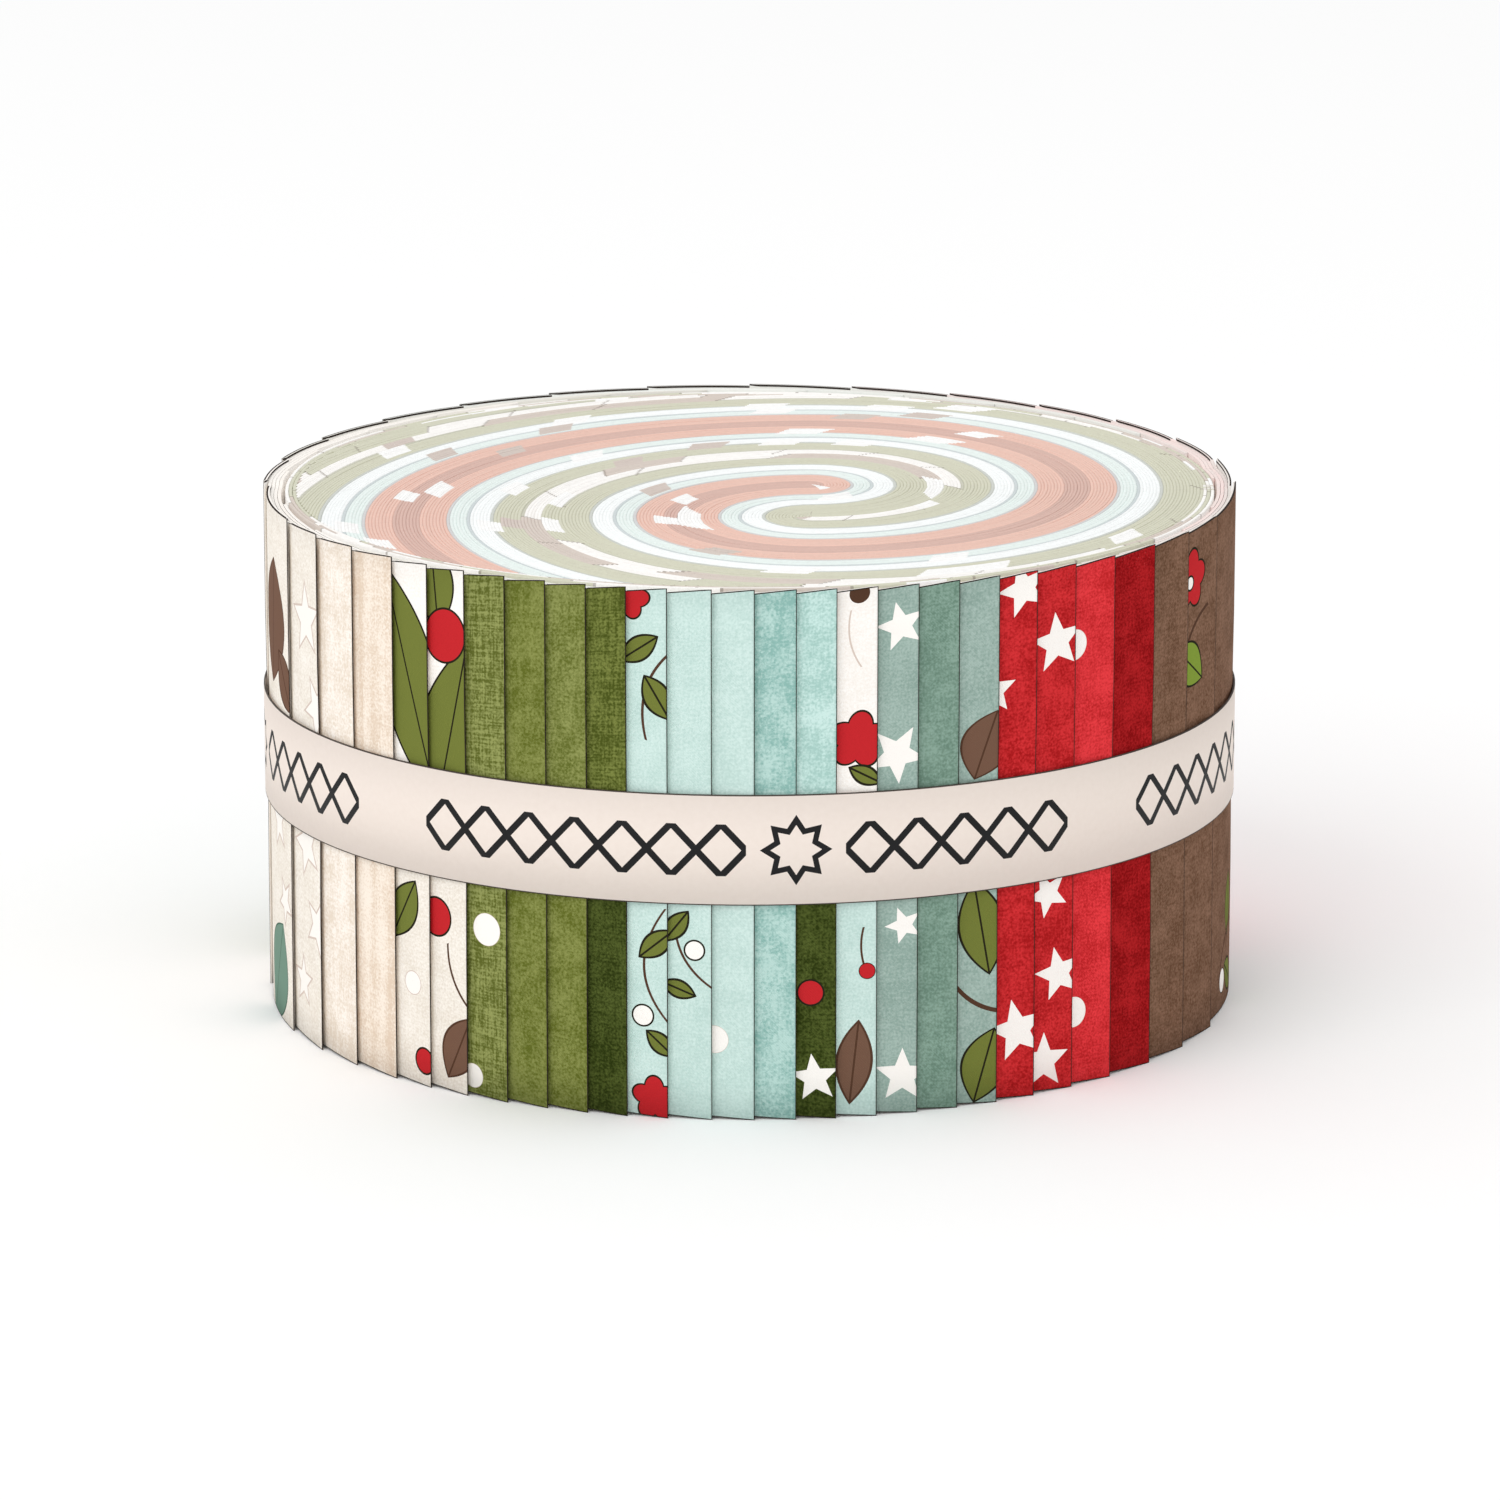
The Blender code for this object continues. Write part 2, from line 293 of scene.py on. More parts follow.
def cut_edge_finish():
    material = bpy.data.materials.new("Cut edges of the strips")
    material.use_nodes = True
    tree = material.node_tree
    shader = tree.nodes["Principled BSDF"]
    shader.inputs["Roughness"].default_value = 0.95
    shader.inputs["Specular IOR Level"].default_value = 0.1

    across = tree.nodes.new("ShaderNodeAttribute")
    across.attribute_name = "across"
    along = tree.nodes.new("ShaderNodeAttribute")
    along.attribute_name = "along"
    layer = across.outputs["Fac"]
    travelled = along.outputs["Fac"]

    ramp = tree.nodes.new("ShaderNodeValToRGB")
    ramp.color_ramp.interpolation = "CONSTANT"
    stops = ramp.color_ramp.elements
    first = 0
    for index, (last, colour) in enumerate(EDGE_COLOURS):
        stop = stops[index] if index < 2 else stops.new(first / LAYERS)
        stop.position = first / LAYERS
        stop.color = colour
        first = last
    tree.links.new(add_math(tree, "DIVIDE", layer, LAYERS), ramp.inputs[0])

    slant = add_math(tree, "MULTIPLY", layer, 0.03)
    last_print, into_piece = add_pieces(tree, travelled, 0.0, 15.0, slant)
    in_last_fabric = add_math(tree, "GREATER_THAN", layer, 34.0)
    is_olive = add_math(tree, "MULTIPLY", add_math(tree, "GREATER_THAN", last_print, 0.70), in_last_fabric)
    is_taupe = add_math(tree, "MULTIPLY", add_math(tree, "LESS_THAN", last_print, 0.27), in_last_fabric)
    colour = add_mix(tree, is_olive, ramp.outputs[0], ink(216, 216, 196))
    colour = add_mix(tree, is_taupe, colour, ink(219, 208, 199))
    on_outline = add_math(tree, "MULTIPLY", add_math(tree, "LESS_THAN", into_piece, 0.025), in_last_fabric)
    colour = add_mix(tree, add_math(tree, "MULTIPLY", on_outline, 0.6), colour, ink(140, 130, 120))
    bundle = add_math(tree, "FLOOR", add_math(tree, "DIVIDE", layer, 7.0))
    small_print, _ = add_pieces(tree, travelled, bundle, 5.0, add_math(tree, "MULTIPLY", layer, 0.06))
    colour = add_mix(tree, add_math(tree, "GREATER_THAN", small_print, 0.95), colour, ink(255, 255, 254))
    colour = add_mix(tree, add_math(tree, "LESS_THAN", small_print, 0.02), colour, ink(216, 204, 196))

    own_tone = tree.nodes.new("ShaderNodeTexWhiteNoise")
    own_tone.noise_dimensions = "1D"
    tree.links.new(add_math(tree, "FLOOR", layer), own_tone.inputs["W"])
    weave_place = tree.nodes.new("ShaderNodeTexCoord").outputs["Object"]
    threads = add_noise(tree, weave_place, 2200.0, detail=1.0).outputs[0]
    tone = add_math(tree, "MULTIPLY", own_tone.outputs[0], 0.07)
    tone = add_math(tree, "ADD", tone, add_math(tree, "MULTIPLY", threads, 0.22))
    tone = add_math(tree, "SUBTRACT", tone, 0.07)
    colour = add_mix(tree, tone, colour, ink(160, 146, 138))
    tree.links.new(colour, shader.inputs["Base Color"])

    bump = tree.nodes.new("ShaderNodeBump")
    bump.inputs["Strength"].default_value = 0.5
    bump.inputs["Distance"].default_value = 0.0001
    tree.links.new(threads, bump.inputs["Height"])
    tree.links.new(bump.outputs[0], shader.inputs["Normal"])
    return material


def wind_layers():
    paths = bpy.data.objects.new("layer_paths", lay_out_layers())
    bpy.context.scene.collection.objects.link(paths)
    winding = paths.modifiers.new("Wind", "NODES")
    winding.node_group = winding_tree(cut_edge_finish())
    bpy.context.view_layer.update()
    evaluated = paths.evaluated_get(bpy.context.evaluated_depsgraph_get())
    mesh = bpy.data.meshes.new_from_object(evaluated)
    mesh.name = "wound_turns"
    bpy.data.objects.remove(paths)
    turns = bpy.data.objects.new("wound_turns", mesh)
    bpy.context.scene.collection.objects.link(turns)
    return turns


wound_turns = wind_layers()
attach(wound_turns, "root")
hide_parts("wound_stack")

# The strip ends: the last stretch of each of the forty strips, printed cotton folded double and laid smoothly
# round the roll. Each runs out from under the one before it and covers the start of the next, and its free
# end stands a little higher, so both rims look like a fine saw.

ROLL_RADIUS = 0.0591
END_THICKNESS = 0.0004
END_PITCH = 0.00045
HIDDEN_STRIPS = 3.6
CLIMB = 0.0006
BACK_CLIMB = 0.0001
TUCK = 0.00022
SETTLE = 0.0003
FOLD_LENGTH = 0.8
FOLD_THINNING = 0.72
STATION_STEP = math.radians(2)
ROWS = 12

# From left to right along the front: width that shows from there, in mm
FRONT_WIDTHS = [
    4.0, 4.0, 4.5, 5.0, 4.3, 4.5, 4.8, 4.8, 4.8, 4.7, 4.8, 5.2, 5.0,
    4.9, 4.7, 4.8, 4.8, 4.8, 4.7, 4.5, 4.7, 4.7, 5.0, 4.4, 3.9, 3.3,
]
BACK_COUNT = 14


def free_end_angles():
    """The direction of each free end, from the front to the right, then round the back."""
    across = sum(FRONT_WIDTHS)
    angles = []
    seen = 0.0
    for width in FRONT_WIDTHS:
        seen += width
        angles.append(math.asin(min(1.0, 2 * seen / across - 1)))
    angles += [math.pi / 2 + math.pi * (index + 1) / BACK_COUNT for index in range(BACK_COUNT)]
    return angles


FREE_ENDS = free_end_angles()
STRIP_COUNT = len(FREE_ENDS)


def end_angle(number):
    """The free end's direction of strip 1 to 40, or of the same strips a turn before."""
    turn, index = divmod(number - 1, STRIP_COUNT)
    return FREE_ENDS[index] + 2 * math.pi * turn


def stations(number):
    """Places along one strip's end, counted in strips, with their angles."""
    found = []
    first_interval = number - math.ceil(HIDDEN_STRIPS) - 1
    for interval in range(first_interval, number):
        start = end_angle(interval)
        stop = end_angle(interval + 1)
        steps = max(2, math.ceil((stop - start) / STATION_STEP))
        for step in range(steps):
            place = interval + step / steps
            if place >= number - 1 - HIDDEN_STRIPS:
                found.append((place, start + (stop - start) * step / steps))
    end = end_angle(number)
    found = [(place, angle) for place, angle in found if end - angle > FOLD_LENGTH / 1000 / ROLL_RADIUS]
    for share in (1.0, 0.5, 0.0):
        back = share * FOLD_LENGTH / 1000 / ROLL_RADIUS
        found.append((number - back / (end - end_angle(number - 1)), end - back))
    return found


def sink(number, place):
    """How far a strip has gone in towards the middle, in thicknesses: steadily along the front, and round the
    back only just past each free end, so that rim looks even."""
    covered = math.floor(number - place)
    before_end = number - place - covered
    index = (math.ceil(place) - 1) % STRIP_COUNT
    return covered + (before_end if index < len(FRONT_WIDTHS) else before_end**3)


def start_height(number):
    """How high a strip stands where it comes out from under the one before it: nearly level round the back."""
    index = (number - 1) % STRIP_COUNT
    return STRIP_WIDTH - (CLIMB if index <= len(FRONT_WIDTHS) else BACK_CLIMB)


def strip_mesh(number):
    """The closed sheet of one strip's end, with its own map in mm: along it from its left side, and up."""
    route = stations(number)
    left = end_angle(number - 1)
    lift = random.Random(number).uniform(0.00005, 0.00016)
    mesh = bpy.data.meshes.new(f"strip_end_{number:02d}")
    bm = bmesh.new()
    cloth_map = bm.loops.layers.uv.new("Cloth")
    cut_edge = bm.faces.layers.float.new("cut_edge")
    depth = bm.verts.layers.float.new("depth")
    grid = {}
    for column, (place, angle) in enumerate(route):
        shown = min(max(place - (number - 1), 0.0), 1.0)
        low = SETTLE * (1 - shown)
        high = start_height(number) + (STRIP_WIDTH - start_height(number)) * shown
        if place < number - 1:
            high = start_height(math.floor(place) + 1) - TUCK
        from_end = (route[-1][1] - angle) * ROLL_RADIUS * 1000
        thickness = END_THICKNESS * (1 - FOLD_THINNING * max(0.0, 1 - from_end / FOLD_LENGTH))
        for row in range(ROWS + 1):
            up = row / ROWS
            height = low + (high - low) * up
            from_band = min(1.0, abs(height - 0.0326) / 0.014)
            radius = ROLL_RADIUS - END_PITCH * sink(number, place)
            radius += lift * shown**3 * from_band**2
            for side in (0, 1):
                reach = radius - side * thickness
                corner = bm.verts.new((reach * math.sin(angle), -reach * math.cos(angle), height))
                corner[depth] = side
                grid[column, row, side] = corner
    columns = len(route)

    def map_of(column, row):
        return (route[column][1] - left) * ROLL_RADIUS * 1000, STRIP_WIDTH * 1000 * row / ROWS

    def add_face(corners, cut):
        face = bm.faces.new([grid[corner] for corner in corners])
        face.smooth = cut < 1.0
        face[cut_edge] = cut
        for loop, (column, row, _) in zip(face.loops, corners):
            loop[cloth_map].uv = map_of(column, row)

    for column in range(columns - 1):
        for row in range(ROWS):
            add_face([(column, row, 0), (column + 1, row, 0), (column + 1, row + 1, 0), (column, row + 1, 0)], 0.0)
            add_face([(column, row, 1), (column, row + 1, 1), (column + 1, row + 1, 1), (column + 1, row, 1)], 0.5)
        add_face([(column, 0, 0), (column, 0, 1), (column + 1, 0, 1), (column + 1, 0, 0)], 1.0)
        add_face([(column, ROWS, 0), (column + 1, ROWS, 0), (column + 1, ROWS, 1), (column, ROWS, 1)], 1.0)
    for row in range(ROWS):
        last = columns - 1
        add_face([(0, row, 0), (0, row + 1, 0), (0, row + 1, 1), (0, row, 1)], 0.5)
        add_face([(last, row, 0), (last, row, 1), (last, row + 1, 1), (last, row + 1, 0)], 2.0)
    bmesh.ops.recalc_face_normals(bm, faces=bm.faces)
    bm.to_mesh(mesh)
    bm.free()
    return mesh


def new_group(name, *inputs):
    """A shader group for one kind of print, which lays its ink over the cloth's colour."""
    group = bpy.data.node_groups.new(name, "ShaderNodeTree")
    for socket_name, kind in inputs:
        group.interface.new_socket(socket_name, in_out="INPUT", socket_type=kind)
    group.interface.new_socket("Colour", in_out="OUTPUT", socket_type="NodeSocketColor")
    given = group.nodes.new("NodeGroupInput")
    result = group.nodes.new("NodeGroupOutput")
    cloth_map = group.nodes.new("ShaderNodeUVMap")
    cloth_map.uv_map = "Cloth"
    return group, given, result, cloth_map.outputs[0]


def mottled_cotton_group():
    """Dyed cotton: soft blotches, crossing threads and a fine grain between a light and a dark tone."""
    group, given, result, place = new_group(
        "Mottled cotton",
        ("Light", "NodeSocketColor"),
        ("Dark", "NodeSocketColor"),
        ("Blotch", "NodeSocketFloat"),
        ("Hatch", "NodeSocketFloat"),
        ("Streak", "NodeSocketFloat"),
        ("Seed", "NodeSocketFloat"),
    )
    split = group.nodes.new("ShaderNodeSeparateXYZ")
    group.links.new(place, split.inputs[0])
    x = split.outputs["X"]
    y = split.outputs["Y"]
    seed = add_math(group, "MULTIPLY", given.outputs["Seed"], 37.7)
    own = add_vector(group, x, y, seed)
    blotch = add_noise(group, own, 0.28, detail=3.0).outputs[0]
    grain = add_noise(group, own, 3.4, detail=1.0).outputs[0]
    upright = add_vector(group, add_math(group, "MULTIPLY", x, 3.2), add_math(group, "MULTIPLY", y, 0.25), seed)
    crosswise = add_vector(group, add_math(group, "MULTIPLY", x, 0.25), add_math(group, "MULTIPLY", y, 3.2), seed)
    warp = add_noise(group, upright, 1.0, detail=1.0).outputs[0]
    weft = add_noise(group, crosswise, 1.0, detail=1.0).outputs[0]
    column = add_vector(group, add_math(group, "MULTIPLY", x, 0.55), add_math(group, "MULTIPLY", y, 0.02), seed)
    streak = add_noise(group, column, 1.0, detail=3.0).outputs[0]
    tone = 0.5
    for part, share in (
        (blotch, given.outputs["Blotch"]),
        (grain, 2.2),
        (warp, given.outputs["Hatch"]),
        (weft, given.outputs["Hatch"]),
        (streak, given.outputs["Streak"]),
    ):
        swing = add_math(group, "MULTIPLY", add_math(group, "SUBTRACT", part, 0.5), share)
        tone = add_math(group, "ADD", tone, swing)
    clamp = group.nodes.new("ShaderNodeClamp")
    group.links.new(tone, clamp.inputs[0])
    colour = add_mix(group, clamp.outputs[0], given.outputs["Dark"], given.outputs["Light"])
    group.links.new(colour, result.inputs[0])
    return group


def turned_place(group, given, place):
    """The cloth's map as seen from a motif: centred on it and turned with it."""
    split = group.nodes.new("ShaderNodeSeparateXYZ")
    group.links.new(place, split.inputs[0])
    x = add_math(group, "SUBTRACT", split.outputs["X"], given.outputs["Along"])
    y = add_math(group, "SUBTRACT", split.outputs["Y"], given.outputs["Up"])
    turn = add_math(group, "RADIANS", given.outputs["Turn"])
    cosine = add_math(group, "COSINE", turn)
    sine = add_math(group, "SINE", turn)
    turned_x = add_math(group, "ADD", add_math(group, "MULTIPLY", x, cosine), add_math(group, "MULTIPLY", y, sine))
    turned_y = add_math(
        group, "SUBTRACT", add_math(group, "MULTIPLY", y, cosine), add_math(group, "MULTIPLY", x, sine)
    )
    return turned_x, turned_y


MOTIF_INPUTS = (
    ("Under", "NodeSocketColor"),
    ("Ink", "NodeSocketColor"),
    ("Line", "NodeSocketColor"),
    ("Along", "NodeSocketFloat"),
    ("Up", "NodeSocketFloat"),
    ("Size", "NodeSocketFloat"),
    ("Width", "NodeSocketFloat"),
    ("Turn", "NodeSocketFloat"),
)


def dot_group():
    group, given, result, place = new_group("Round dot", *MOTIF_INPUTS)
    x, y = turned_place(group, given, place)
    reach = add_math(group, "SQRT", add_math(group, "ADD", add_math(group, "MULTIPLY", x, x), add_math(group, "MULTIPLY", y, y)))
    inside = add_math(group, "LESS_THAN", reach, given.outputs["Size"])
    in_fill = add_math(group, "LESS_THAN", reach, add_math(group, "SUBTRACT", given.outputs["Size"], given.outputs["Width"]))
    lined = add_mix(group, inside, given.outputs["Under"], given.outputs["Line"])
    colour = add_mix(group, in_fill, lined, given.outputs["Ink"])
    group.links.new(colour, result.inputs[0])
    return group


STAR_POINTS = 5
STAR_WAIST = 0.44


def star_group():
    """A five-pointed star: Size is its reach, and Width the line round it."""
    group, given, result, place = new_group("Star", *MOTIF_INPUTS)
    x, y = turned_place(group, given, place)
    reach = add_math(group, "SQRT", add_math(group, "ADD", add_math(group, "MULTIPLY", x, x), add_math(group, "MULTIPLY", y, y)))
    around = add_math(group, "ADD", add_math(group, "ARCTAN2", x, y), 4 * math.pi)
    sector = math.pi / STAR_POINTS
    folded = add_math(group, "PINGPONG", around, sector)
    normal_x = STAR_WAIST * math.sin(sector)
    normal_y = 1 - STAR_WAIST * math.cos(sector)
    lean = math.atan2(normal_y, normal_x)
    edge = normal_x / math.hypot(normal_x, normal_y)
    depth = add_math(group, "MULTIPLY", reach, add_math(group, "COSINE", add_math(group, "SUBTRACT", folded, lean)))
    depth = add_math(group, "SUBTRACT", depth, add_math(group, "MULTIPLY", given.outputs["Size"], edge))
    inside = add_math(group, "LESS_THAN", depth, 0.0)
    in_fill = add_math(group, "LESS_THAN", add_math(group, "ADD", depth, given.outputs["Width"]), 0.0)
    lined = add_mix(group, inside, given.outputs["Under"], given.outputs["Line"])
    colour = add_mix(group, in_fill, lined, given.outputs["Ink"])
    group.links.new(colour, result.inputs[0])
    return group


LEAF_LINE = 0.30


def leaf_group():
    """A pointed leaf with an outline and a vein: Size is its length and Width its breadth."""
    group, given, result, place = new_group("Leaf", *MOTIF_INPUTS)
    x, y = turned_place(group, given, place)
    half_length = add_math(group, "MULTIPLY", given.outputs["Size"], 0.5)
    share = add_math(group, "DIVIDE", x, half_length)
    fullness = add_math(group, "SUBTRACT", 1.0, add_math(group, "MULTIPLY", share, share))
    edge = add_math(group, "MULTIPLY", add_math(group, "MULTIPLY", given.outputs["Width"], 0.5), fullness)
    depth = add_math(group, "SUBTRACT", add_math(group, "ABSOLUTE", y), edge)
    inside = add_math(group, "LESS_THAN", depth, 0.0)
    in_fill = add_math(group, "LESS_THAN", depth, -LEAF_LINE)
    off_vein = add_math(group, "GREATER_THAN", add_math(group, "ABSOLUTE", y), LEAF_LINE * 0.4)
    lined = add_mix(group, inside, given.outputs["Under"], given.outputs["Line"])
    in_fill = add_math(group, "MULTIPLY", in_fill, off_vein)
    colour = add_mix(group, in_fill, lined, given.outputs["Ink"])
    group.links.new(colour, result.inputs[0])
    return group


def twig_group():
    """A stalk with a slight curve: Size is its length and Width its thickness."""
    group, given, result, place = new_group("Twig", *MOTIF_INPUTS)
    x, y = turned_place(group, given, place)
    bent = add_math(group, "ADD", y, add_math(group, "MULTIPLY", add_math(group, "MULTIPLY", x, x), 0.06))
    near = add_math(group, "LESS_THAN", add_math(group, "ABSOLUTE", bent), add_math(group, "MULTIPLY", given.outputs["Width"], 0.5))
    within = add_math(group, "LESS_THAN", add_math(group, "ABSOLUTE", x), add_math(group, "MULTIPLY", given.outputs["Size"], 0.5))
    colour = add_mix(group, add_math(group, "MULTIPLY", near, within), given.outputs["Under"], given.outputs["Ink"])
    group.links.new(colour, result.inputs[0])
    return group


def blossom_group():
    """A round flower of five petals with an outline: Size is its reach, and Width the line."""
    group, given, result, place = new_group("Blossom", *MOTIF_INPUTS)
    x, y = turned_place(group, given, place)
    reach = add_math(group, "SQRT", add_math(group, "ADD", add_math(group, "MULTIPLY", x, x), add_math(group, "MULTIPLY", y, y)))
    around = add_math(group, "MULTIPLY", add_math(group, "ARCTAN2", y, x), 2.5)
    scallop = add_math(group, "ADD", add_math(group, "MULTIPLY", add_math(group, "ABSOLUTE", add_math(group, "COSINE", around)), 0.28), 0.72)
    edge = add_math(group, "MULTIPLY", given.outputs["Size"], scallop)
    inside = add_math(group, "LESS_THAN", reach, edge)
    in_fill = add_math(group, "LESS_THAN", reach, add_math(group, "SUBTRACT", edge, given.outputs["Width"]))
    lined = add_mix(group, inside, given.outputs["Under"], given.outputs["Line"])
    colour = add_mix(group, in_fill, lined, given.outputs["Ink"])
    group.links.new(colour, result.inputs[0])
    return group


COTTON = mottled_cotton_group()
MOTIFS = {
    "dot": dot_group(),
    "star": star_group(),
    "leaf": leaf_group(),
    "twig": twig_group(),
    "blossom": blossom_group(),
}

# Dyed grounds: light tone, dark tone, strength of the blotches, of the crossing threads and of the streaks
GROUNDS = {
    "cream": (ink(250, 244, 235), ink(231, 222, 209), 1.2, 0.6, 0.0),
    "warm cream": (ink(254, 246, 237), ink(232, 218, 201), 1.6, 0.8, 1.2),
    "tan cream": (ink(249, 237, 223), ink(227, 207, 186), 1.2, 0.6, 2.4),
    "white": (ink(255, 252, 248), ink(247, 241, 234), 1.0, 0.5, 0.0),
    "woven olive": (ink(146, 153, 90), ink(94, 102, 42), 1.0, 2.2, 0.0),
    "olive": (ink(142, 149, 86), ink(98, 107, 43), 1.4, 0.6, 0.0),
    "soft olive": (ink(136, 143, 78), ink(96, 105, 38), 1.8, 0.5, 0.0),
    "deep olive": (ink(122, 131, 66), ink(74, 84, 28), 1.6, 1.4, 0.6),
    "forest": (ink(82, 94, 42), ink(44, 55, 14), 1.6, 0.7, 0.0),
    "pale aqua": (ink(210, 233, 227), ink(190, 217, 210), 1.2, 0.6, 0.0),
    "clear aqua": (ink(204, 233, 227), ink(166, 204, 196), 2.0, 0.6, 0.0),
    "aqua": (ink(186, 218, 211), ink(140, 184, 176), 2.6, 0.6, 0.0),
    "sage": (ink(168, 190, 181), ink(140, 165, 155), 1.4, 0.6, 0.0),
    "deep sage": (ink(138, 167, 152), ink(106, 136, 120), 1.8, 0.6, 0.0),
    "red": (ink(214, 50, 54), ink(168, 24, 27), 1.6, 0.6, 0.0),
    "bright red": (ink(234, 62, 68), ink(192, 36, 40), 1.8, 0.6, 0.0),
    "deep red": (ink(180, 32, 36), ink(134, 8, 12), 2.0, 0.6, 0.0),
    "brown": (ink(138, 105, 85), ink(102, 73, 54), 1.4, 0.6, 0.0),
}

OUTLINE = ink(38, 36, 24)
LEAF_GREEN = ink(114, 122, 56)
BERRY_RED = ink(196, 40, 46)
WOOD = ink(84, 58, 44)
BARK = ink(116, 86, 70)
WARM_WHITE = ink(253, 249, 244)
PALE_LINE = ink(214, 198, 187)
SAGE_LEAF = ink(117, 147, 131)
CREAM_STAR = ink(251, 247, 241)

